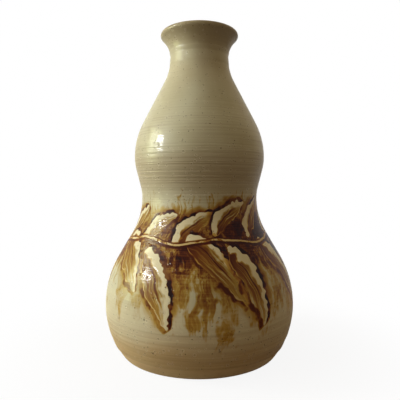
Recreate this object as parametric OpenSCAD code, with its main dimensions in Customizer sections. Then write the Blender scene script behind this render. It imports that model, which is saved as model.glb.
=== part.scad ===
// Hand-thrown stoneware gourd vase, in millimetres.
// It is thrown as two open sections that are luted together just above the waist.
// The origin is the centre of the foot on the table, with +Z up the axis of the wheel.

/* [Foot] */
// Radius that rounds the outer edge of the foot
foot_round = 4; // [2.5:0.1:6]
// Width of the flat ring that the vase stands on
foot_ring_w = 7; // [4:0.5:12]
// Depth turned out of the underside, inside the foot ring
foot_recess = 3; // [2.4:0.1:4.5]
// Radius at the corner of the turned recess
recess_round = 1.5; // [0.5:0.1:2]
// Radius that softens the inner edge of the foot ring
foot_inner_round = 0.8; // [0.4:0.1:1.2]

/* [Belly] */
// Outer radius of the clay at the widest part of the belly
belly_r = 87.8; // [80:0.2:96]
// Height of the widest part of the belly
belly_z = 45.4; // [40:0.2:52]
// Radius of the curve that runs from the belly in to the foot
belly_under_r = 73.8; // [66:0.2:84]
// How much of the sweep to the waist is the belly's own round: the rest is the waist's and a straight
belly_share = 0.54; // [0.42:0.01:0.58]

/* [Waist] */
// Outer radius of the clay at the waist
waist_r = 54.3; // [50:0.1:57]
// Rise from the widest part of the belly to the waist
waist_rise = 97.4; // [84:0.2:112]
// How much of the sweep from the belly is the waist's own hollow
waist_low_share = 0.4; // [0.3:0.01:0.44]
// How much of the sweep up to the bulb is the waist's own hollow
waist_high_share = 0.38; // [0.3:0.01:0.5]

/* [Upper bulb] */
// Outer radius of the clay at the widest part of the upper bulb
bulb_r = 61.3; // [58.5:0.1:66]
// Rise from the waist to the widest part of the upper bulb
bulb_rise = 38; // [32:0.2:46]
// How much of the sweep up from the waist is the bulb's own round
bulb_low_share = 0.42; // [0.32:0.01:0.52]
// How much of the sweep to the neck is the bulb's own round
bulb_high_share = 0.47; // [0.36:0.01:0.56]

/* [Neck and lip] */
// Outer radius of the clay at the narrowest part of the neck
neck_r = 27.5; // [24:0.1:32]
// Rise from the widest part of the upper bulb to the narrowest part of the neck
neck_rise = 95.2; // [82:0.2:110]
// How much of the sweep up from the bulb is the neck's own hollow
neck_share = 0.33; // [0.24:0.01:0.44]
// Outer radius of the lip
rim_r = 36.7; // [34.5:0.1:42]
// Rise from the narrowest part of the neck to the crest of the lip
lip_rise = 23.6; // [20:0.2:28]

/* [Wall] */
// Thickness of the thrown wall, which also sets the round of the lip
wall = 5; // [4:0.1:6.5]
// Thickness of the floor, above the turned recess
floor_t = 7; // [5:0.1:9]
// Radius inside, between the floor and the wall
floor_round = 14; // [9:0.5:18]
// Height that the potter's hand climbs in one turn of the wheel
ring_pitch = 11; // [8:0.5:16]
// Depth of the finger rings left inside the wall
ring_depth = 0.9; // [0.3:0.1:1.6]

/* [Luted seam] */
// Height of the seam above the waist
seam_rise = 4.6; // [0:0.2:9]
// Width of the V key cut along the middle of the wall
key_w = 2.6; // [1.6:0.1:3.2]
// Depth of the V key
key_d = 1.4; // [0.8:0.1:2.4]
// Thickness of the slip that glues the two sections
slip_t = 0.8; // [0.4:0.1:1.2]
// Height of the soft coil pressed over the seam inside
coil_h = 16; // [10:0.5:22]
// Thickness of that coil at its middle
coil_t = 2.2; // [1:0.1:3.5]

/* [Glaze] */
// Thickness of the glaze coats
glaze_t = 0.4; // [0.2:0.05:0.7]
// Height of the line where the outer glaze has been wiped off, above the foot
glaze_line = 10; // [5:0.2:18]
// How much the glaze thickens where it has run down to that line
bead_t = 0.2; // [0:0.05:0.6]
// Height over which it thickens to that bead
bead_h = 6; // [3:0.5:10]
// How far the outer glaze laps down inside the mouth, where it meets the poured liner
mouth_lap = 10; // [4:0.5:20]

/* [Hidden] */
$fn = 128;

CLAY = [0.66, 0.52, 0.38];
SLIP = [0.58, 0.45, 0.33];
GLAZE = [0.82, 0.76, 0.62];
LINER = [0.78, 0.70, 0.55];

// Longest chord that stands for a stretch of curve, and the most that a curve turns from one chord to the next
chord = 2;
facet_angle = 12;
// Heights of the clay's waist, upper bulb and neck, and of the crest of its lip
waist_z = belly_z + waist_rise;
bulb_z = waist_z + bulb_rise;
neck_z = bulb_z + neck_rise;
body_h = neck_z + lip_rise;
lip_round = wall / 2;
floor_z = foot_recess + floor_t;
seam_z = waist_z + seam_rise;
// Heights over which the finger rings come in above the floor, and die out below the neck
ring_fade = 12;
ring_top = neck_z - ring_pitch;

// An outline is a list of samples [radius, height, normal's radius, normal's height].
// The normal points out of the clay. A leg of it is an arc [centre, radius, first angle, last angle, bulge],
// where bulge is 1 on a swelling and -1 in a hollow.

function arc_samples(leg, depth = 0) =
    let (
        c = leg[0],
        bulge = leg[4],
        r = leg[1] - bulge * depth,
        side = depth > 0 ? -bulge : bulge,
        turn = abs(leg[3] - leg[2]),
        n = max(2, ceil(turn / facet_angle), ceil(turn * PI / 180 * r / chord))
    )
    [for (i = [0:n])
        let (a = leg[2] + (leg[3] - leg[2]) * i / n)
        [c[0] + r * cos(a), c[1] + r * sin(a), side * cos(a), side * sin(a)]];

// The chords between one sample and the next, so that straights are sampled as curves are
function refined(line) = [
    for (i = [0:len(line) - 2])
        let (
            p = line[i],
            q = line[i + 1],
            n = max(1, ceil(norm([q[0] - p[0], q[1] - p[1]]) / chord - 0.01))
        )
        for (k = [0:n - 1]) p + (q - p) * k / n,
    line[len(line) - 1]
];

function joined(lists) = [for (l = lists) each l];

// Samples without their normals, moved along them by a distance that may change with height
function points(line) = [for (p = line) [max(0, p[0]), p[1]]];
function raised(line, by) = [for (i = [0:len(line) - 1])
    let (p = line[i]) [p[0] + by[i] * p[2], p[1] + by[i] * p[3], p[2], p[3]]];

function backwards(list) = [for (i = [len(list) - 1:-1:0]) list[i]];

// From 0 below a to 1 above b
function eased(x, a, b) = let (t = min(1, max(0, (x - a) / (b - a)))) t * t * (3 - 2 * t);

// A hump that is 1 at its middle and 0 from half its width away
function hump(x, middle, width) =
    abs(x - middle) < width / 2 ? pow(cos(180 * (x - middle) / width), 2) : 0;

// Sum of the two radii that would join a swelling and a hollow with no straight between them
function whole_sweep(fall, rise) = (fall * fall + rise * rise) / (2 * fall);

// Angle that the sweep turns through on each arc, when their radii come to reach
function sweep_turn(fall, rise, reach) =
    atan2(rise, reach - fall) - acos(reach / norm([reach - fall, rise]));

// The two legs from a swelling up to a hollow, bottom first. A station is [radius, height, share of the sweep].
function sweep_in(swelling, hollow) =
    let (
        fall = swelling[0] - hollow[0],
        rise = hollow[1] - swelling[1],
        whole = whole_sweep(fall, rise),
        r = swelling[2] * whole,
        s = hollow[2] * whole,
        turn = sweep_turn(fall, rise, r + s)
    )
    [
        [[swelling[0] - r, swelling[1]], r, 0, turn, 1],
        [[hollow[0] + s, hollow[1]], s, 180 + turn, 180, -1]
    ];

// The two legs from a hollow up to a swelling, bottom first
function sweep_out(hollow, swelling) =
    let (
        fall = swelling[0] - hollow[0],
        rise = swelling[1] - hollow[1],
        whole = whole_sweep(fall, rise),
        r = swelling[2] * whole,
        s = hollow[2] * whole,
        turn = sweep_turn(fall, rise, r + s)
    )
    [
        [[hollow[0] + s, hollow[1]], s, 180, 180 - turn, -1],
        [[swelling[0] - r, swelling[1]], r, -turn, 0, 1]
    ];

// Radius at which an arc of radius r, standing on height z, rolls inside the belly's under-curve of radius big
function rolled_in(big, r, z) =
    belly_r - belly_under_r + sqrt(pow(big - r, 2) - pow(belly_z - z - r, 2));

// Foot and belly
foot_edge_r = rolled_in(belly_under_r, foot_round, 0);
foot_angle = atan2(foot_round - belly_z, foot_edge_r - belly_r + belly_under_r);
foot_leg = [[foot_edge_r, foot_round], foot_round, -90, foot_angle, 1];
belly_centre = [belly_r - belly_under_r, belly_z];

// Floor, inside
floor_edge_r = rolled_in(belly_under_r - wall, floor_round, floor_z);
floor_angle = atan2(floor_z + floor_round - belly_z, floor_edge_r - belly_r + belly_under_r);
floor_leg = [[floor_edge_r, floor_z + floor_round], floor_round, -90, floor_angle, -1];

// Flare of the neck, tangent to the round of the lip
flare_fall = rim_r - neck_r;
flare_rise = body_h - lip_round - neck_z;
flare_r = (pow(flare_fall - lip_round, 2) + pow(flare_rise, 2) - pow(lip_round, 2)) / (2 * flare_fall);
flare_angle = atan2(flare_rise, flare_fall - lip_round - flare_r);
flare_leg = [[neck_r + flare_r, neck_z], flare_r, 180, flare_angle, -1];
lip_centre = [rim_r - lip_round, body_h - lip_round];

// Legs that the outside and the inside of the wall share, from the belly to the flare
shared_legs = concat(
    sweep_in([belly_r, belly_z, belly_share], [waist_r, waist_z, waist_low_share]),
    sweep_out([waist_r, waist_z, waist_high_share], [bulb_r, bulb_z, bulb_low_share]),
    sweep_in([bulb_r, bulb_z, bulb_high_share], [neck_r, neck_z, neck_share]),
    [flare_leg]
);

// Outside of the clay, from the foot to the crest of the lip
outside = refined(joined(concat(
    [arc_samples(foot_leg)],
    [arc_samples([belly_centre, belly_under_r, foot_angle, 0, 1])],
    [for (leg = shared_legs) arc_samples(leg)],
    [arc_samples([lip_centre, lip_round, flare_angle - 180, 90, 1])]
)));

// Inside of the clay as if it were smooth, from the middle of the floor to the crest of the lip
inside_smooth = refined(joined(concat(
    [[[0, floor_z, 0, 1]]],
    [arc_samples(floor_leg)],
    [arc_samples([belly_centre, belly_under_r, floor_angle, 0, 1], wall)],
    [for (leg = shared_legs) arc_samples(leg, wall)],
    [arc_samples([lip_centre, lip_round, flare_angle, 90, 1])]
)));

// Finger rings, and the coil over the seam, as thickness added inside the wall
function ring_at(z) = ring_depth / 2 * (1 - cos(360 * z / ring_pitch))
    * eased(z, floor_z + floor_round / 2, floor_z + floor_round / 2 + ring_fade)
    * (1 - eased(z, ring_top - ring_fade, ring_top));
function coil_at(z) = coil_t * hump(z, seam_z, coil_h);

inside = raised(inside_smooth, [for (p = inside_smooth) ring_at(p[1])]);
lined = raised(inside_smooth, [for (p = inside_smooth) ring_at(p[1]) + coil_at(p[1])]);
inside_glazed = raised(lined, [for (p = lined) glaze_t]);
outside_glazed = raised(outside, [for (p = outside)
    glaze_t + bead_t * hump(p[1], glaze_line, 2 * bead_h)]);

// Middle of the wall at the seam
seam_r = lookup(seam_z, [for (p = outside) if (p[1] > belly_z && p[1] < bulb_z) [p[1], p[0]]]) - wall / 2;

// The seam's line across the wall, with its V key, moved up by a distance
function seam_line(up) = [
    [seam_r - 2 * wall, seam_z + up],
    [seam_r - key_w / 2, seam_z + up],
    [seam_r, seam_z + up - key_d],
    [seam_r + key_w / 2, seam_z + up],
    [seam_r + 2 * wall, seam_z + up]
];

// Section of all the clay on one side of the axis, with the underside turned out
module clay_section() {
    difference() {
        polygon(concat([[0, 0]], points(outside), backwards(points(inside))));
        turned_recess_section();
    }
}

// Section of the recess turned out of the underside, inside the foot ring
module turned_recess_section() {
    recess_r = foot_edge_r - foot_ring_w;
    polygon(concat(
        [[-1, -1], [recess_r + foot_inner_round, -1]],
        [for (a = [270:-15:180])
            [recess_r + foot_inner_round * (1 + cos(a)), foot_inner_round * (1 + sin(a))]],
        [for (a = [0:15:90])
            [recess_r - recess_round + recess_round * cos(a), foot_recess - recess_round + recess_round * sin(a)]],
        [[-1, foot_recess]]
    ));
}

// Everything under the seam's line, as a section
module below_seam(up) {
    polygon(concat(
        [[-1, -1], [-1, seam_z + up]],
        seam_line(up),
        [[belly_r + wall, seam_z + up], [belly_r + wall, -1]]
    ));
}

// Lower bulb, thrown with its floor and turned foot, with the groove of the seam in its top edge
module lower_section() {
    color(CLAY)
    rotate_extrude()
    intersection() {
        clay_section();
        below_seam(-slip_t / 2);
    }
}

// Upper bulb, neck and lip, thrown without a floor, with the tongue of the seam on its bottom edge
module upper_section() {
    color(CLAY)
    rotate_extrude()
    difference() {
        clay_section();
        below_seam(slip_t / 2);
    }
}

// Slip that fills the key between the two sections
module luting_slip() {
    color(SLIP)
    rotate_extrude()
    intersection() {
        clay_section();
        difference() {
            below_seam(slip_t / 2);
            below_seam(-slip_t / 2);
        }
    }
}

// Soft coil of clay pressed over the seam, inside
module seam_coil() {
    on_coil = [for (i = [0:len(inside) - 1]) if (coil_at(inside_smooth[i][1]) > 0) i];
    first = on_coil[0] - 1;
    last = on_coil[len(on_coil) - 1] + 1;
    color(SLIP)
    rotate_extrude()
    polygon(points(concat(
        [for (i = [first:last]) inside[i]],
        [for (i = [last - 1:-1:first + 1]) lined[i]]
    )));
}

// Glaze over the outside, from the line above the foot, over the lip and a little way down the mouth
module outer_glaze() {
    color(GLAZE)
    rotate_extrude()
    union() {
        difference() {
            polygon(concat(points(outside), backwards(points(outside_glazed))));
            translate([-1, -1 - bead_h])
            square([belly_r + wall, glaze_line + 1 + bead_h]);
        }
        intersection() {
            inside_coat_section();
            mouth_section();
        }
    }
}

// Glaze poured inside, over the floor, the wall and the coil, up to the lap of the outer glaze
module liner_glaze() {
    color(LINER)
    rotate_extrude()
    difference() {
        inside_coat_section();
        mouth_section();
    }
}

// Section of the whole coat inside, from the floor to the crest of the lip
module inside_coat_section() {
    polygon(concat(points(inside_glazed), backwards(points(lined))));
}

// Everything above the lower edge of the lap, as a section
module mouth_section() {
    translate([-1, body_h - mouth_lap])
    square([rim_r + wall, mouth_lap + wall]);
}

lower_section();
upper_section();
luting_slip();
seam_coil();
outer_glaze();
liner_glaze();
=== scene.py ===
import math

import bpy
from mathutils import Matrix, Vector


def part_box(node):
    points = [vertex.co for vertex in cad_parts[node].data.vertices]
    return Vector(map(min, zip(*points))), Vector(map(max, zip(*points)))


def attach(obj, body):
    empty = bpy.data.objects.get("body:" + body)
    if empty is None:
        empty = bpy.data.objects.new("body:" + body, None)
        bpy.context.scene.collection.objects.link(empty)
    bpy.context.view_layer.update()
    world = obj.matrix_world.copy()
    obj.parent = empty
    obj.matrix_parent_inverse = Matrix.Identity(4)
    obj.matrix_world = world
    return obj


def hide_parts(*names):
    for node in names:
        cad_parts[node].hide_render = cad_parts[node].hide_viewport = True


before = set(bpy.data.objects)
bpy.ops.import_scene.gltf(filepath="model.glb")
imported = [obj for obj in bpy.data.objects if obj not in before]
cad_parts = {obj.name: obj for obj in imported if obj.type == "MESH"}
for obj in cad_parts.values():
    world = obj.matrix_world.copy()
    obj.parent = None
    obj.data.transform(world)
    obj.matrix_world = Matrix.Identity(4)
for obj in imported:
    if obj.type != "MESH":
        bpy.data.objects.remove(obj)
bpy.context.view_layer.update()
bpy.context.scene.view_settings.view_transform = "Standard"


# Lower section.
# The belly is thrown with its floor, then turned upside down to cut the foot ring.
# Only its bare foot shows, toasted by the kiln, with the marks of the turning tool.
def fired(red, green, blue):
    """A colour as the eye reads it, 0 to 255, made linear."""
    return [pow((c / 255 + 0.055) / 1.055, 2.4) if c > 10 else c / 3295 for c in (red, green, blue)] + [1]


def settle(tree, made, values):
    """Set a new node down, nine to a row, and give its inputs values or other nodes' sockets."""
    made.location = (len(tree.nodes) % 9 * 190, -(len(tree.nodes) // 9) * 260)
    for socket, value in values.items():
        if isinstance(value, bpy.types.NodeSocket):
            tree.links.new(value, made.inputs[socket])
        else:
            made.inputs[socket].default_value = value
    return made


def put(tree, kind, inputs=(), **settings):
    """One shader node. Each input is given a value or another node's socket."""
    made = tree.nodes.new("ShaderNode" + kind)
    for name, value in settings.items():
        setattr(made, name, value)
    return settle(tree, made, dict(inputs))


def place(tree, group, **inputs):
    """A node group's outputs, placed in a material. An input's name is written with _ for a space."""
    made = tree.nodes.new("ShaderNodeGroup")
    made.node_tree = group
    return settle(tree, made, {name.replace("_", " "): value for name, value in inputs.items()}).outputs


def reckon(tree, operation, *terms, clamp=False):
    """A Math node's result."""
    return put(tree, "Math", dict(enumerate(terms)), operation=operation, use_clamp=clamp).outputs[0]


def plus(tree, first, *terms):
    """first with the other terms added."""
    for term in terms:
        first = reckon(tree, "ADD", first, term)
    return first


def less(tree, first, second):
    """first with second taken from it."""
    return reckon(tree, "SUBTRACT", first, second)


def times(tree, first, *factors):
    """first multiplied by the other factors."""
    for factor in factors:
        first = reckon(tree, "MULTIPLY", first, factor)
    return first


def ramp(tree, value, low, high, to_low=0.0, to_high=1.0, smooth=True):
    """value eased from to_low at low to to_high at high."""
    return put(
        tree, "MapRange",
        {"Value": value, "From Min": low, "From Max": high, "To Min": to_low, "To Max": to_high},
        interpolation_type="SMOOTHSTEP" if smooth else "LINEAR",
    ).outputs["Result"]


def mottle(tree, spot, scale, detail, roughness=0.5, distortion=0.0):
    """A cloudy pattern of 0 to 1, mostly near a half."""
    return put(
        tree, "TexNoise",
        {"Vector": spot, "Scale": scale, "Detail": detail, "Roughness": roughness, "Distortion": distortion},
    ).outputs[0]


def stretch(tree, spot, factors):
    """spot multiplied along X, Y and Z."""
    return put(tree, "VectorMath", {0: spot, 1: factors}, operation="MULTIPLY").outputs[0]


def tint(tree, amount, under, over, way="MIX"):
    """The colour over laid on the colour under by amount."""
    return put(tree, "Mix", {0: amount, 6: under, 7: over}, data_type="RGBA", blend_type=way).outputs[2]


def new_group(name, inputs, outputs):
    """An empty shader node group, with its inputs' sockets and its outputs' node."""
    group = bpy.data.node_groups.new(name, "ShaderNodeTree")
    kinds = {"number": "NodeSocketFloat", "vector": "NodeSocketVector"}
    for label, value in inputs.items():
        group.interface.new_socket(label, in_out="INPUT", socket_type="NodeSocketFloat").default_value = value
    for label, kind in outputs.items():
        group.interface.new_socket(label, in_out="OUTPUT", socket_type=kinds[kind])
    return group, group.nodes.new("NodeGroupInput").outputs, group.nodes.new("NodeGroupOutput")


# Lines that fingers and tools leave as the wheel turns: level all round, but never quite the same.
# Spacing is the size of a line up the vase, and Wander its size round the vase, both in metres.
wheel_lines, given, result = new_group(
    "Wheel lines",
    {"Spacing": 0.002, "Wander": 0.25, "Detail": 3.0, "Seed": 0.0},
    {"Lines": "number", "Breaks": "number"},
)
tree = wheel_lines
spot = put(tree, "TexCoord").outputs["Object"]
parts = put(tree, "SeparateXYZ", {0: spot}).outputs
stretched = put(
    tree, "CombineXYZ",
    {"X": reckon(tree, "DIVIDE", parts["X"], given["Wander"]),
     "Y": reckon(tree, "DIVIDE", parts["Y"], given["Wander"]),
     "Z": plus(tree, reckon(tree, "DIVIDE", parts["Z"], given["Spacing"]), given["Seed"])},
).outputs[0]
tree.links.new(mottle(tree, stretched, 1.0, given["Detail"], 0.6), result.inputs["Lines"])
tree.links.new(ramp(tree, mottle(tree, spot, 34.0, 2.0), 0.38, 0.62), result.inputs["Breaks"])

# Iron in the clay that melts up as fine dark specks.
# Apart and Width are in metres, and Share says how many of the places have a speck.
iron_specks, given, result = new_group(
    "Iron specks",
    {"Apart": 0.005, "Width": 0.0006, "Share": 0.5},
    {"Specks": "number", "Rims": "number"},
)
tree = iron_specks
spot = put(tree, "TexCoord").outputs["Object"]
grains = put(tree, "TexNoise", {"Vector": spot, "Scale": 900.0, "Detail": 1.0}).outputs["Color"]
jitter = stretch(tree, grains, (0.0009, 0.0009, 0.0009))
moved = put(tree, "VectorMath", {0: spot, 1: jitter}, operation="ADD").outputs[0]
cells = put(
    tree, "TexVoronoi",
    {"Vector": moved, "Scale": reckon(tree, "DIVIDE", 1.0, given["Apart"]), "Randomness": 1.0},
).outputs
reach = times(tree, cells["Distance"], given["Apart"])
chance = put(tree, "SeparateColor", {0: cells["Color"]}).outputs
size = times(tree, given["Width"], plus(tree, chance[1], 0.35))
inside = less(tree, 1.0, ramp(tree, reach, times(tree, size, 0.35), size))
picked = reckon(tree, "LESS_THAN", chance[0], given["Share"])
tree.links.new(times(tree, inside, picked), result.inputs["Specks"])
widths = reckon(tree, "DIVIDE", reach, size)
rim = times(tree, ramp(tree, widths, 0.9, 1.2), ramp(tree, widths, 1.2, 1.6, 1.0, 0.0))
tree.links.new(times(tree, rim, picked), result.inputs["Rims"])


def stoneware(name, pale, toasted, seed):
    """Bare fired clay, with wheel lines, grog and iron specks."""
    clay = bpy.data.materials.new(name)
    clay.use_nodes = True
    tree = clay.node_tree
    shader = tree.nodes["Principled BSDF"]
    shader.inputs["Specular IOR Level"].default_value = 0.2
    spot = put(tree, "TexCoord").outputs["Object"]
    turned = place(tree, wheel_lines, Spacing=0.0011, Wander=0.3, Seed=seed)
    specks = place(tree, iron_specks, Apart=0.0042, Width=0.0006, Share=0.4)
    blush = mottle(tree, spot, 16.0, 3.0)
    grain = mottle(tree, spot, 1400.0, 2.0)
    colour = tint(tree, ramp(tree, blush, 0.35, 0.7), pale, toasted)
    colour = tint(tree, ramp(tree, turned["Lines"], 0.45, 0.7, 0.0, 0.3), colour, toasted)
    colour = tint(tree, times(tree, specks["Specks"], 0.8), colour, fired(70, 46, 28))
    tree.links.new(colour, shader.inputs["Base Color"])
    tree.links.new(ramp(tree, grain, 0.3, 0.7, 0.72, 0.9), shader.inputs["Roughness"])
    height = plus(tree, turned["Lines"], times(tree, grain, 0.25))
    bump = put(tree, "Bump", {"Height": height, "Strength": 0.35, "Distance": 0.0004})
    tree.links.new(bump.outputs[0], shader.inputs["Normal"])
    return clay


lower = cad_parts["lower_section"]
foot_clay = stoneware("Bare stoneware of the foot", fired(238, 207, 150), fired(226, 191, 132), 3.0)
lower.data.materials.clear()
lower.data.materials.append(foot_clay)


# Upper section.
# Upper bulb, neck and lip, thrown without a floor from the same clay.
# Glaze covers all of it, so its clay shows only in the thickness of the wall.
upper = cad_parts["upper_section"]
covered_clay = stoneware("Stoneware under the glaze", fired(188, 156, 112), fired(164, 126, 84), 8.0)
upper.data.materials.clear()
upper.data.materials.append(covered_clay)


# Seam.
# Slip glues the keyed edges of the two sections, and a soft coil is pressed over the join inside.
# Both are the same clay let down with water, and they fire a little darker.
slip_clay = stoneware("Slip and coil of the seam", fired(168, 136, 96), fired(146, 112, 74), 5.0)
for name in ("luting_slip", "seam_coil"):
    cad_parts[name].data.materials.clear()
    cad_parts[name].data.materials.append(slip_clay)


# Liner.
# Glaze poured in, rolled round and poured out, up to the lap of the outer glaze.
# It breaks brown on the finger ridges and pools paler in the rings between them.
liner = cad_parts["liner_glaze"]
liner_glaze = bpy.data.materials.new("Poured liner glaze")
liner_glaze.use_nodes = True
tree = liner_glaze.node_tree
shader = tree.nodes["Principled BSDF"]
shader.inputs["Coat Weight"].default_value = 0.3
shader.inputs["Coat Roughness"].default_value = 0.12
spot = put(tree, "TexCoord").outputs["Object"]
fingers = place(tree, wheel_lines, Spacing=0.0045, Wander=0.2, Seed=1.0)
specks = place(tree, iron_specks, Apart=0.005, Width=0.0007, Share=0.5)
flow = mottle(tree, spot, 45.0, 4.0)
colour = tint(tree, ramp(tree, flow, 0.3, 0.7), fired(200, 184, 142), fired(184, 162, 116))
colour = tint(tree, ramp(tree, fingers["Lines"], 0.5, 0.72, 0.0, 0.55), colour, fired(150, 116, 68))
colour = tint(tree, specks["Specks"], colour, fired(66, 44, 26))
tree.links.new(colour, shader.inputs["Base Color"])
tree.links.new(ramp(tree, flow, 0.3, 0.7, 0.22, 0.34), shader.inputs["Roughness"])
bump = put(tree, "Bump", {"Height": fingers["Lines"], "Strength": 0.3, "Distance": 0.0006})
tree.links.new(bump.outputs[0], shader.inputs["Normal"])
liner.data.materials.clear()
liner.data.materials.append(liner_glaze)


# Outer glaze coat.
# Satin glaze over the outside and over the lip, on the wheel-ringed clay of both sections.
# It follows their shape, and is wiped off in a line just above the foot.
coat_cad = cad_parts["outer_glaze"]
coat_low, coat_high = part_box("outer_glaze")
coat_thickness = 0.00037

# A feeler starts clear of the coat, and a hair's breadth inside its ends.
feeler = 0.01
hair = 0.00002
corners = [corner.co for corner in coat_cad.data.vertices]
lip = [c for c in corners if c.z > coat_high.z - 0.006]
crest = [c for c in lip if c.z > coat_high.z - hair / 2]
crest_r = sum(math.hypot(c.x, c.y) for c in crest) / len(crest)
lip_round = max(math.hypot(c.x, c.y) for c in lip) - crest_r
lap_height = min(c.z for c in corners if math.hypot(c.x, c.y) < crest_r - 0.006)


def touch(start, direction):
    """Where a straight feeler first meets the coat, as (radius, height)."""
    point = coat_cad.ray_cast(start, direction)[1]
    return math.hypot(point.x, point.y), point.z


# The outline is felt off the solid: up the outside, round the lip, and down the mouth to the lap.
lip_low = coat_high.z - lip_round * 1.64
steps = round((lip_low - coat_low.z) / 0.0021)
outline = []
for i in range(steps):
    outline.append(touch((0.2, 0, coat_low.z + hair + (lip_low - coat_low.z) * i / steps), (-1, 0, 0)))
for degrees in range(-40, 151, 10):
    out, up = math.cos(math.radians(degrees)), math.sin(math.radians(degrees))
    start = (crest_r + feeler * out, 0, coat_high.z - lip_round + feeler * up)
    outline.append(touch(start, (-out, 0, -up)))
mouth_top = outline[-1][1]
for i in range(1, 5):
    outline.append(touch((0, 0, mouth_top + (lap_height + hair - mouth_top) * i / 4), (1, 0, 0)))

bpy.ops.object.select_all(action="DESELECT")
bpy.ops.curve.primitive_bezier_curve_add(location=(0, 0, 0))
coat = bpy.context.object
coat.name = "glaze_coat"
coat.data.resolution_u = 3
stroke = coat.data.splines[0].bezier_points
stroke.add(len(outline) - 2)
for knot, (radius, height) in zip(stroke, outline):
    knot.co = (radius, 0, height)
    knot.handle_left_type = knot.handle_right_type = "AUTO"
bpy.ops.object.convert(target="MESH")
bpy.ops.object.mode_set(mode="EDIT")
bpy.ops.mesh.select_all(action="SELECT")
bpy.ops.mesh.spin(steps=128, angle=2 * math.pi, center=(0, 0, 0), axis=(0, 0, 1))
bpy.ops.mesh.select_all(action="SELECT")
bpy.ops.mesh.remove_doubles(threshold=0.000005)
bpy.ops.mesh.normals_make_consistent(inside=False)
bpy.ops.object.mode_set(mode="OBJECT")
widest = max(coat.data.polygons, key=lambda face: math.hypot(face.center.x, face.center.y))
if widest.normal.dot(widest.center) < 0:
    bpy.ops.object.mode_set(mode="EDIT")
    bpy.ops.mesh.flip_normals()
    bpy.ops.object.mode_set(mode="OBJECT")


def worn_in(piece, name, reach, depth, low, high, proud=False):
    """Rings that hand or tool leaves in piece between two heights: reach is their size along X, Y and Z.

    They go up to depth into it, or stand up to depth proud of it, and fade out near the two heights.
    """
    pattern = bpy.data.textures.new(name, type="CLOUDS")
    pattern.noise_scale = 1.0
    pattern.noise_depth = 2
    pattern.intensity = 0.75
    bpy.ops.object.empty_add(location=(0, 0, 0))
    guide = bpy.context.object
    guide.scale = reach
    bpy.context.view_layer.update()
    zone = piece.vertex_groups.new(name=name)
    for corner in piece.data.vertices:
        share = min((high - corner.co.z) / 0.012, (corner.co.z - low) / 0.004, 1)
        if share > 0:
            zone.add([corner.index], share, "REPLACE")
    worn = piece.modifiers.new(name, "DISPLACE")
    worn.texture = pattern
    worn.texture_coords = "OBJECT"
    worn.texture_coords_object = guide
    worn.vertex_group = name
    worn.mid_level = 0.0 if proud else 1.0
    worn.strength = depth
    bpy.ops.object.select_all(action="DESELECT")
    bpy.context.view_layer.objects.active = piece
    piece.select_set(True)
    bpy.ops.object.modifier_apply(modifier=name)
    bpy.data.objects.remove(guide)


worn_in(coat, "Finger rings", (0.5, 0.5, 0.0042), 0.00018, 0.010, 0.265)
worn_in(coat, "Fine rings", (0.3, 0.3, 0.0014), 0.00012, 0.010, 0.290)
worn_in(coat, "Turned ridges", (0.4, 0.4, 0.0050), 0.0006, 0.010, 0.034, proud=True)
coat.vertex_groups.clear()

# The back of the coat lies on the clay, from the lap over the lip and down to the wiped line.
# It has half as many knots as the front, and its last edge is bridged to the front's lower edge.
back = []
for i in range(len(outline) - 1, -1, -1):
    before, after = outline[max(i - 1, 0)], outline[min(i + 1, len(outline) - 1)]
    run = math.hypot(after[0] - before[0], after[1] - before[1])
    inward = ((before[1] - after[1]) / run, (after[0] - before[0]) / run)
    if i % 2 == 0 or i == len(outline) - 1:
        back.append((outline[i][0] + coat_thickness * inward[0], outline[i][1] + coat_thickness * inward[1]))


def pick_open_edges():
    """Select the edges in edit mode that have a face on one side only."""
    bpy.ops.mesh.select_all(action="DESELECT")
    bpy.ops.mesh.select_non_manifold(extend=False, use_wire=False, use_boundary=True, use_multi_face=False,
                                     use_non_contiguous=False, use_verts=False)


bpy.ops.object.mode_set(mode="EDIT")
bpy.ops.mesh.select_mode(type="EDGE")
pick_open_edges()
bpy.ops.object.mode_set(mode="OBJECT")
below_lap = lap_height - 0.01
for edge in coat.data.edges:
    if edge.select and coat.data.vertices[edge.vertices[0]].co.z < below_lap:
        edge.select = False
for corner in coat.data.vertices:
    corner.select = corner.select and corner.co.z > below_lap
last_r, last_z = outline[-1]
bpy.ops.object.mode_set(mode="EDIT")
for radius, height in back:
    bpy.ops.mesh.extrude_edges_move(TRANSFORM_OT_translate={"value": (0, 0, height - last_z)})
    bpy.ops.transform.resize(value=(radius / last_r, radius / last_r, 1), center_override=(0, 0, height))
    last_r, last_z = radius, height
pick_open_edges()
bpy.ops.mesh.bridge_edge_loops()
bpy.ops.mesh.select_all(action="SELECT")
bpy.ops.mesh.normals_make_consistent(inside=False)
bpy.ops.object.mode_set(mode="OBJECT")
bpy.ops.object.shade_smooth_by_angle(angle=math.radians(50))


def swing(tree, pattern, reach):
    """A pattern of 0 to 1 made to swing about nought, reach from end to end."""
    return times(tree, less(tree, pattern, 0.5), reach)


def between(tree, share, first, second):
    """A value that goes from first to second as share goes from 0 to 1."""
    return put(tree, "Mix", {0: share, 2: first, 3: second}).outputs[0]


def nudge(tree, spot, push, reach):
    """spot pushed about by a colour's three parts, each up to reach."""
    parts = {0: push, 1: (reach, reach, reach), 2: spot}
    return put(tree, "VectorMath", parts, operation="MULTIPLY_ADD").outputs[0]


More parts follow.
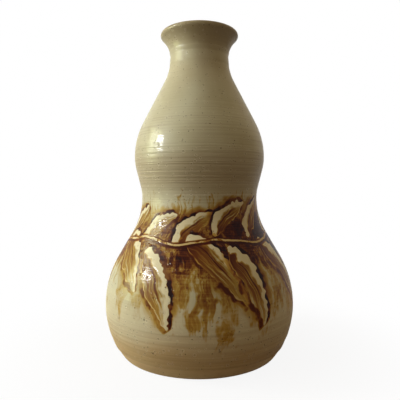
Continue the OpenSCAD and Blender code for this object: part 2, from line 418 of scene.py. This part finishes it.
# Where a spot lies on the vase, as a brush would find it: how far round, and how high.
# Turn is in radians from the front, to the right, and Rim points straight out from the axis.
round_vase, given, result = new_group(
    "Round the vase",
    {},
    {"Turn": "number", "Level": "number", "Rim": "vector"},
)
tree = round_vase
spot = put(tree, "TexCoord").outputs["Object"]
parts = put(tree, "SeparateXYZ", {0: spot}).outputs
turn = reckon(tree, "ARCTAN2", parts["X"], times(tree, parts["Y"], -1.0))
outward = put(tree, "VectorMath", {0: stretch(tree, spot, (1, 1, 0))}, operation="NORMALIZE").outputs[0]
tree.links.new(turn, result.inputs["Turn"])
tree.links.new(parts["Z"], result.inputs["Level"])
tree.links.new(outward, result.inputs["Rim"])

# One brushed leaf, repeated round the vase, each copy a little different.
# Thick iron is drawn beside it, its body is a thin streaked wash, and cream slip is trailed along its edges.
brushed_leaf, given, result = new_group(
    "Brushed leaf",
    {"Iron under": 0.0, "Slip under": 0.0, "Copies": 6.0, "Place": 0.0, "Root": 0.1, "Lean": 0.0,
     "Length": 0.06, "Breadth": 0.016, "Droop": 4.0, "Seed": 0.0},
    {"Iron": "number", "Slip": "number"},
)
tree = brushed_leaf
here = place(tree, round_vase)
spot = put(tree, "TexCoord").outputs["Object"]

# Each copy has its own stretch of the round, from a little behind its root to a leaf's length ahead of it.
sector = reckon(tree, "DIVIDE", 2 * math.pi, given["Copies"])
from_place = less(tree, here["Turn"], given["Place"])
copy = reckon(tree, "ROUND", less(tree, reckon(tree, "DIVIDE", from_place, sector), 0.27))
around = less(tree, from_place, times(tree, copy, sector))
number = plus(tree, reckon(tree, "FLOORED_MODULO", copy, given["Copies"]), given["Seed"])
drawn = put(tree, "TexWhiteNoise", {"W": number}, noise_dimensions="1D").outputs["Color"]
chance = put(tree, "SeparateColor", {0: drawn}).outputs
lean = plus(tree, given["Lean"], swing(tree, chance[0], 0.3))
length = times(tree, given["Length"], plus(tree, 0.84, times(tree, chance[1], 0.32)))
root = plus(tree, given["Root"], swing(tree, chance[2], 0.008))

# The leaf is laid out from its root along its rib, which droops and wavers, and off the rib to each side.
belly_r = 0.078
belly_slope = 1.1
sideways = times(tree, around, belly_r)
upward = times(tree, less(tree, here["Level"], root), belly_slope)
cosine, sine = reckon(tree, "COSINE", lean), reckon(tree, "SINE", lean)
from_root = plus(tree, times(tree, sideways, cosine), times(tree, upward, sine))
off_rib = less(tree, times(tree, upward, cosine), times(tree, sideways, sine))
waver = mottle(tree, spot, 60.0, 1.5)
off_rib = plus(tree, off_rib, times(tree, times(tree, from_root, from_root), given["Droop"]))
off_rib = plus(tree, off_rib, swing(tree, waver, 0.009))
along = reckon(tree, "DIVIDE", from_root, length, clamp=True)
on_length = times(tree, ramp(tree, from_root, 0.0, 0.0012), ramp(tree, along, 0.96, 1.0, 1.0, 0.0))
bulge = reckon(tree, "SINE", times(tree, reckon(tree, "POWER", along, 0.8), math.pi))
half = times(tree, given["Breadth"], 0.5, reckon(tree, "POWER", bulge, 0.75))
scallops = put(tree, "TexVoronoi", {"Vector": spot, "Scale": 230.0, "Randomness": 1.0}, feature="SMOOTH_F1")
uneven = times(tree, less(tree, scallops.outputs["Distance"], 0.4), 0.0052)
from_upper = plus(tree, less(tree, half, off_rib), uneven)
from_lower = plus(tree, half, off_rib, times(tree, uneven, 0.5))
deep = reckon(tree, "MINIMUM", from_upper, from_lower)
on_leaf = times(tree, ramp(tree, from_upper, 0.0, 0.0004), ramp(tree, from_lower, 0.0, 0.0012), on_length)

# The upper edge carries a broad trail of slip that narrows to the tip, the lower one a thin broken one.
trail_width = plus(tree, ramp(tree, along, 0.0, 1.0, 0.0068, 0.0026, smooth=False), swing(tree, waver, 0.006))
upper_trail = ramp(tree, from_upper, trail_width, plus(tree, trail_width, 0.0022), 1.0, 0.0, smooth=False)
breaks = ramp(tree, waver, 0.42, 0.56, 0.0, 0.8)
lower_trail = times(tree, ramp(tree, from_lower, 0.0010, 0.0022, 1.0, 0.0), breaks)
trail = times(tree, on_leaf, reckon(tree, "MAXIMUM", upper_trail, lower_trail))

# Iron on the body is thin beside the trail and at the tip, and thick at the root and along the rib.
bristles = put(
    tree, "CombineXYZ",
    {"X": times(tree, from_root, 30.0), "Y": times(tree, off_rib, 430.0), "Z": number},
).outputs[0]
streaks = mottle(tree, bristles, 1.0, 4.0, 0.65)
inside_trail = less(tree, from_upper, trail_width)
beside_trail = times(tree, ramp(tree, inside_trail, 0.0, 0.0055, 0.8, 0.0), ramp(tree, along, 0.05, 0.4))
at_tip = ramp(tree, plus(tree, along, times(tree, streaks, 0.6)), 0.8, 1.3, 0.0, 0.75)
thin = less(tree, 1.0, reckon(tree, "MAXIMUM", beside_trail, at_tip))
at_root = ramp(tree, plus(tree, along, times(tree, streaks, 0.5)), 0.25, 0.68, 1.3, 0.0)
body = plus(tree, times(tree, ramp(tree, streaks, 0.34, 0.60, 0.10, 1.35), thin), at_root)
on_rib = ramp(tree, reckon(tree, "ABSOLUTE", off_rib), 0.0003, 0.0013, 1.0, 0.0, smooth=False)
rib = times(tree, on_rib, ramp(tree, along, 0.5, 0.85, 1.0, 0.0))
body = reckon(tree, "MAXIMUM", body, times(tree, rib, ramp(tree, streaks, 0.3, 0.5, 1.0, 2.4)))

# Beside the leaf it is nearly black against the trail, and fades to brown away from it.
lifted = mottle(tree, spot, 95.0, 2.0)
near = times(tree, ramp(tree, deep, -0.0044, -0.0016), on_length, ramp(tree, lifted, 0.38, 0.56, 0.3, 1.0))
fading = reckon(tree, "POWER", ramp(tree, deep, -0.012, 0.0, 0.0, 1.0, smooth=False), 1.6)
fading = times(tree, fading, ramp(tree, from_root, -0.004, 0.004), ramp(tree, along, 0.75, 1.0, 1.0, 0.0))
brown = times(tree, fading, ramp(tree, streaks, 0.3, 0.6, 1.0, 1.9))
black = times(tree, near, ramp(tree, streaks, 0.3, 0.45, 3.0, 4.4))
beside = times(tree, reckon(tree, "MAXIMUM", brown, black), ramp(tree, off_rib, -0.002, 0.004, 0.5, 1.0))
iron = between(tree, on_leaf, reckon(tree, "MAXIMUM", given["Iron under"], beside), body)
tree.links.new(between(tree, trail, iron, 0.05), result.inputs["Iron"])
slip = times(tree, given["Slip under"], less(tree, 1.0, on_leaf))
tree.links.new(reckon(tree, "MAXIMUM", slip, trail), result.inputs["Slip"])

glaze = bpy.data.materials.new("Cream satin glaze with brushed leaves")
glaze.use_nodes = True
tree = glaze.node_tree
shader = tree.nodes["Principled BSDF"]
spot = put(tree, "TexCoord").outputs["Object"]
here = place(tree, round_vase)
level = here["Level"]

# Cream and cloudy, with a blush here and there, and painted shade just above the waist, where the bulb faces
# down, warmed like a painted reflection of the table.
cloudy = mottle(tree, spot, 22.0, 4.0)
colour = tint(tree, ramp(tree, cloudy, 0.3, 0.7), fired(219, 215, 180), fired(207, 200, 161))
blush = mottle(tree, spot, 9.0, 3.0)
colour = tint(tree, ramp(tree, blush, 0.48, 0.7, 0.0, 0.3), colour, fired(200, 174, 130))
# Painted shade and a painted reflection of the table, where the upper bulb faces down.
shade_above_waist = ramp(tree, level, 0.138, 0.160, 0.0, 0.32)
shade_above_waist = times(tree, shade_above_waist, ramp(tree, level, 0.172, 0.192, 1.0, 0.0))
colour = tint(tree, shade_above_waist, colour, fired(176, 146, 106))

# Painted shade darkens the crest of the lip, which faces up, and the flare under it, which faces down, where
# the glaze also breaks tan over the lip.
# Towards the foot it goes pale and then sandy.
crest_painted_shade = ramp(tree, level, coat_high.z - 0.005, coat_high.z - 0.001, 0.0, 0.4)
colour = tint(tree, crest_painted_shade, colour, fired(140, 116, 76))
low_down = plus(tree, level, swing(tree, cloudy, 0.03))
colour = tint(tree, ramp(tree, low_down, 0.075, 0.045, 0.0, 0.7), colour, fired(234, 221, 180))
colour = tint(tree, ramp(tree, low_down, 0.046, 0.014), colour, fired(219, 189, 134))
# Painted shade on the flare, which faces down, with the glaze breaking thin over the lip.
flare_painted_shade = ramp(tree, level, coat_high.z - 0.030, coat_high.z - 0.008, 0.0, 0.55)
colour = tint(tree, flare_painted_shade, colour, fired(170, 150, 108))

# Low down the turning tool left broad grooves, darkened with painted shade.
# Fine wheel lines lie all over, and show most round the waist and the upper bulb.
turned = place(tree, wheel_lines, Spacing=0.0042, Wander=0.16, Detail=1.6, Seed=4.0)
groove_painted_shade = times(tree, ramp(tree, turned["Lines"], 0.52, 0.40), ramp(tree, low_down, 0.060, 0.035, 0.0, 0.2))
colour = tint(tree, groove_painted_shade, colour, fired(176, 138, 84))
rings = place(tree, wheel_lines, Spacing=0.0012, Wander=0.3, Seed=2.0)
busy = times(tree, ramp(tree, level, 0.060, 0.150), ramp(tree, level, 0.205, 0.240, 1.0, 0.0))
ring_depth = plus(tree, 0.05, times(tree, busy, 0.2))
ring_depth = times(tree, ring_depth, ramp(tree, rings["Breaks"], 0.0, 1.0, 0.45, 1.0))
dark_rings = times(tree, ramp(tree, rings["Lines"], 0.48, 0.66), ring_depth)
colour = tint(tree, dark_rings, colour, fired(150, 124, 84))
pale_rings = times(tree, ramp(tree, rings["Lines"], 0.44, 0.32), ring_depth)
colour = tint(tree, pale_rings, colour, fired(232, 226, 196))

# Bubbles that burst in the melt leave small pits, and a painted highlight lightens their rims.
pits = place(tree, iron_specks, Apart=0.0035, Width=0.00085, Share=0.5)
colour = tint(tree, times(tree, pits["Rims"], 0.2), colour, fired(250, 242, 214))

# A faint pale line is painted along the level of the seam.
seam_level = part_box("upper_section")[0].z
from_seam = reckon(tree, "ABSOLUTE", less(tree, level, seam_level))
seam_line = ramp(tree, from_seam, 0.0002, 0.0009, 0.5, 0.0)
seam_line = times(tree, seam_line, ramp(tree, rings["Breaks"], 0.1, 0.6))
colour = tint(tree, seam_line, colour, fired(234, 228, 200))

# A wash of iron under the leaves, brushed up and down, caught in the wheel lines and run down in drips.
# Iron is counted as a thickness. Thin it fires golden, thicker it goes brown and at last almost black.
wobble = put(tree, "TexNoise", {"Vector": spot, "Scale": 34.0, "Detail": 2.0}).outputs["Color"]
loose = nudge(tree, spot, wobble, 0.016)
straight_up = put(tree, "CombineXYZ", {"Z": times(tree, level, 11.0)}).outputs[0]
drip_spot = nudge(tree, nudge(tree, straight_up, here["Rim"], 4.6), wobble, 1.1)
drips = mottle(tree, drip_spot, 1.0, 3.0, 0.7)
runs = stretch(tree, nudge(tree, spot, wobble, 0.034), (58, 58, 23))
running = mottle(tree, runs, 1.0, 5.0, 0.68, 0.4)
hairs = mottle(tree, stretch(tree, loose, (360, 360, 34)), 1.0, 3.0, 0.6)
clouds = mottle(tree, spot, 62.0, 3.0, 0.55)

# The runs end at different levels, lowest in front, and the wash stops unevenly under the waist.
run_end = plus(tree, ramp(tree, drips, 0.37, 0.57, 0.084, 0.038), swing(tree, running, -0.012))
run_end = plus(tree, run_end, swing(tree, clouds, -0.060))
in_front = ramp(tree, reckon(tree, "ABSOLUTE", less(tree, here["Turn"], 0.08)), 0.15, 0.55, 0.011, 0.0)
run_end = less(tree, run_end, in_front)
wash_low = ramp(tree, level, run_end, plus(tree, run_end, 0.036), smooth=False)
top_level = plus(tree, level, swing(tree, running, -0.030), swing(tree, hairs, -0.060))
wash_high = ramp(tree, top_level, 0.131, 0.145, 1.0, 0.0)
wash_high = times(tree, wash_high, ramp(tree, level, 0.118, 0.138, 1.0, 0.5))

# It is thickest and closest at its heart, and thinner and patchy above and below.
patches = ramp(tree, mottle(tree, spot, 24.0, 3.0), 0.27, 0.53)
heart = times(tree, ramp(tree, level, 0.078, 0.094), ramp(tree, level, 0.127, 0.139, 1.0, 0.0))
covered = reckon(tree, "MAXIMUM", reckon(tree, "MAXIMUM", patches, heart), ramp(tree, running, 0.40, 0.60))
strength = plus(tree, times(tree, running, 0.62), times(tree, hairs, 0.38))
outside_heart = ramp(tree, strength, 0.40, 0.58, 0.16, 1.15)
iron = between(tree, heart, outside_heart, ramp(tree, strength, 0.40, 0.56, 0.6, 3.9))
thinned = ramp(tree, mottle(tree, loose, 70.0, 4.0), 0.36, 0.56, 0.62, 1.0)
iron = times(tree, iron, times(tree, thinned, ramp(tree, rings["Lines"], 0.38, 0.60, 0.82, 1.12)))

# Less iron lies to the left of the front, and the wash pools a little where its runs end.
from_left = reckon(tree, "ABSOLUTE", plus(tree, here["Turn"], math.radians(52)))
less_iron_at_left = ramp(tree, from_left, 0.30, 0.70, 0.6, 1.0)
pooled = times(tree, times(tree, wash_low, less(tree, 1.0, wash_low)), 0.9)
iron = plus(tree, times(tree, iron, less_iron_at_left), pooled)
iron = times(tree, iron, times(tree, wash_low, wash_high, covered))

# The band is a running branch with leaves on both sides, all swept the same way.
slip = 0.0
for turn_deg, root, lean_deg, length, breadth, droop, seed in (
    (-20, 0.106, 54, 0.050, 0.018, 6.0, 1.0),
    (10, 0.109, 46, 0.052, 0.019, 6.5, 2.0),
    (-10, 0.109, -34, 0.070, 0.023, 5.0, 3.0),
    (20, 0.106, -46, 0.064, 0.021, 4.5, 4.0),
):
    leaf = place(
        tree, brushed_leaf, Iron_under=iron, Slip_under=slip, Copies=6.0, Place=math.radians(turn_deg),
        Root=root, Lean=math.radians(lean_deg), Length=length, Breadth=breadth, Droop=droop, Seed=seed,
    )
    iron, slip = leaf["Iron"], leaf["Slip"]

# The branch sways up and down as it goes round. Slip lies along its middle, and iron on both sides of that.
sway = times(tree, reckon(tree, "SINE", times(tree, here["Turn"], 6.0)), 0.0025)
branch_level = plus(tree, swing(tree, cloudy, 0.012), plus(tree, sway, 0.1075))
from_branch = less(tree, level, branch_level)
beside_branch = ramp(tree, reckon(tree, "ABSOLUTE", from_branch), 0.0016, 0.0030, 0.95, 0.0)
iron = between(tree, beside_branch, iron, 2.8)
from_middle = reckon(tree, "ABSOLUTE", less(tree, from_branch, 0.0006))
on_branch = ramp(tree, from_middle, 0.0006, 0.0011, 1.0, 0.0)
on_branch = times(tree, on_branch, ramp(tree, running, 0.38, 0.48, 0.3, 1.0))
iron = between(tree, on_branch, iron, 0.2)
slip = reckon(tree, "MAXIMUM", slip, on_branch)
iron = times(tree, iron, less_iron_at_left)

# Slip is cream. Iron stains what it covers, first golden and then brown by its thickness.
colour = tint(tree, slip, colour, fired(244, 236, 194))
colour = tint(tree, ramp(tree, iron, 0.0, 0.42), colour, fired(253, 239, 146), "MULTIPLY")
browning = put(tree, "Gamma", {"Color": fired(168, 121, 96), "Gamma": iron}).outputs[0]
colour = tint(tree, 1.0, colour, browning, "MULTIPLY")

# Specks of iron are dark, painted shade darkens the floors of the pits, and the glaze is pinholed low down.
specks = place(tree, iron_specks, Apart=0.0029, Width=0.00058, Share=0.5)
colour = tint(tree, times(tree, specks["Specks"], 0.62), colour, fired(84, 60, 38))
# Painted shade in the floors of the pits.
colour = tint(tree, times(tree, pits["Specks"], 0.25), colour, fired(120, 92, 58))
pinholes = place(tree, iron_specks, Apart=0.0075, Width=0.0011, Share=0.6)
open_holes = times(tree, pinholes["Specks"], ramp(tree, low_down, 0.075, 0.055))
colour = tint(tree, times(tree, open_holes, 0.55), colour, fired(96, 68, 40))
tree.links.new(colour, shader.inputs["Base Color"])

# The surface is satin, with a thin weak gloss over it that mirrors the window.
# Towards the foot both go dry.
shader.inputs["Specular IOR Level"].default_value = 0.03
shader.inputs["Coat Roughness"].default_value = 0.11
dry = ramp(tree, low_down, 0.075, 0.035, 0.0, 0.3)
satin = ramp(tree, cloudy, 0.3, 0.7, 0.36, 0.46)
tree.links.new(plus(tree, dry, satin), shader.inputs["Roughness"])
gloss = times(tree, ramp(tree, low_down, 0.075, 0.035, 0.105, 0.03), ramp(tree, cloudy, 0.3, 0.7, 1.1, 0.9))
tree.links.new(gloss, shader.inputs["Coat Weight"])

# Relief: swells, strongest just above the waist, slip that stands up, wheel lines and grooves.
# Specks, pits and pinholes are sunk in it.
swells = place(tree, wheel_lines, Spacing=0.0020, Wander=0.3, Detail=1.2, Seed=6.0)
swelling = ramp(tree, level, 0.136, 0.168, 0.5, 2.2)
swelling = times(tree, swelling, ramp(tree, level, 0.184, 0.192, 1.0, 0.15))
height = plus(tree, times(tree, swells["Lines"], swelling), times(tree, slip, 0.4))
height = plus(tree, height, times(tree, rings["Lines"], 0.1))
height = plus(tree, height, times(tree, turned["Lines"], ramp(tree, low_down, 0.060, 0.035, 0.0, 2.4)))
height = less(tree, height, times(tree, specks["Specks"], 0.3))
height = less(tree, height, reckon(tree, "MAXIMUM", open_holes, times(tree, pits["Specks"], 0.9)))
height = plus(tree, height, times(tree, pits["Rims"], 0.35))
bump = put(tree, "Bump", {"Height": height, "Strength": 0.7, "Distance": 0.0004})
tree.links.new(bump.outputs[0], shader.inputs["Normal"])
tree.links.new(bump.outputs[0], shader.inputs["Coat Normal"])
coat.data.materials.clear()
coat.data.materials.append(glaze)
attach(coat, "root")
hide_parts("outer_glaze")


# Photographer's table.
# A wide pale sheet under the vase, which keeps its soft shadow.
# The camera sees it almost white, and it throws back only a little light.
def seen_or_mirrored(tree):
    """1 for what the camera sees itself, in a gloss or through glass, and 0 for what only gives light."""
    ray = put(tree, "LightPath").outputs
    mirrored = reckon(tree, "MAXIMUM", ray["Is Glossy Ray"], ray["Is Transmission Ray"])
    return reckon(tree, "MAXIMUM", ray["Is Camera Ray"], mirrored)


bpy.ops.object.select_all(action="DESELECT")
bpy.ops.mesh.primitive_circle_add(vertices=96, radius=6.0, fill_type="NGON", location=(0, 0, 0))
table = bpy.context.object
table.name = "table"
paper = bpy.data.materials.new("Pale paper")
paper.use_nodes = True
tree = paper.node_tree
shader = tree.nodes["Principled BSDF"]
shader.inputs["Roughness"].default_value = 0.9
seen = seen_or_mirrored(tree)
tree.links.new(tint(tree, seen, fired(54, 24, 3), fired(250, 249, 248)), shader.inputs["Base Color"])
spot = put(tree, "TexCoord").outputs["Object"]
away = put(tree, "VectorMath", {0: spot}, operation="LENGTH").outputs["Value"]
blank = times(tree, seen, ramp(tree, away, 0.08, 0.26, 0.90, 1.0))
white = put(tree, "Emission", {"Color": (1, 1, 1, 1), "Strength": 1.0}).outputs[0]
mixed = put(tree, "MixShader", {0: blank, 1: shader.outputs[0], 2: white}).outputs[0]
tree.links.new(mixed, tree.nodes["Material Output"].inputs["Surface"])
table.data.materials.append(paper)


# Room and window.
# The room looks white, and gives the vase a dim warm light, more of it from above.
# A large window to the left lights it, and a soft lamp behind it to the right fills its shadow side a little.
world = bpy.data.worlds.new("Studio")
bpy.context.scene.world = world
world.use_nodes = True
tree = world.node_tree
room = tree.nodes["Background"]
upward = put(tree, "SeparateXYZ", {0: put(tree, "TexCoord").outputs["Generated"]}).outputs["Z"]
walls = tint(tree, ramp(tree, upward, 0.0, 0.8), (0.84, 0.45, 0.13, 1), (1.80, 1.53, 1.09, 1))
tree.links.new(walls, room.inputs["Color"])
room.inputs["Strength"].default_value = 0.175
white = put(tree, "Background", {"Color": (1, 1, 1, 1), "Strength": 1.0}).outputs[0]
mixed = put(tree, "MixShader", {0: seen_or_mirrored(tree), 1: room.outputs[0], 2: white}).outputs[0]
tree.links.new(mixed, tree.nodes["World Output"].inputs["Surface"])

half_height = 0.15


def soft_light(name, bearing, rise, distance, width, height, power, colour, only_mirrored=False):
    """An area lamp that looks at the middle of the vase.

    bearing is in degrees from the camera's side, to the left, and rise is in degrees above the middle.
    A lamp that is only mirrored shows in the gloss and lights nothing.
    """
    lamp = bpy.data.lights.new(name, "AREA")
    lamp.shape = "RECTANGLE"
    lamp.size, lamp.size_y = width, height
    lamp.energy = power
    lamp.color = colour
    holder = bpy.data.objects.new(name, lamp)
    bpy.context.scene.collection.objects.link(holder)
    away, up = math.radians(bearing), math.radians(rise)
    holder.location = (-distance * math.sin(away) * math.cos(up), -distance * math.cos(away) * math.cos(up),
                       half_height + distance * math.sin(up))
    holder.rotation_euler = (math.radians(90) - up, 0, -away)
    holder.visible_diffuse = not only_mirrored


soft_light("window", 76, 22, 1.2, 1.0, 0.8, 7.0, (0.97, 1.0, 1.02))
soft_light("window edge", 90, 20, 1.2, 0.24, 0.5, 5.9, (0.96, 1.0, 1.0))
soft_light("sky in the window", 73, 23, 1.2, 0.27, 0.15, 26.0, (0.90, 0.95, 1.0), only_mirrored=True)
soft_light("garden in the window", 89, 14, 1.2, 0.56, 0.84, 30.0, (0.91, 1.0, 0.48), only_mirrored=True)
soft_light("room", -130, 34, 2.2, 1.8, 1.8, 3.4, (1.0, 0.72, 0.38))

# Camera: held level at half the height of the vase, close to it.
lens = bpy.data.cameras.new("camera")
camera = bpy.data.objects.new("camera", lens)
bpy.context.scene.collection.objects.link(camera)
bpy.context.scene.camera = camera
lens.sensor_width = 36
lens.lens = 37.8
lens.shift_x = 0.0015
lens.shift_y = -0.0347
camera.location = (0, -0.4049, 0.1536)
camera.rotation_euler = (math.radians(90), 0, 0)
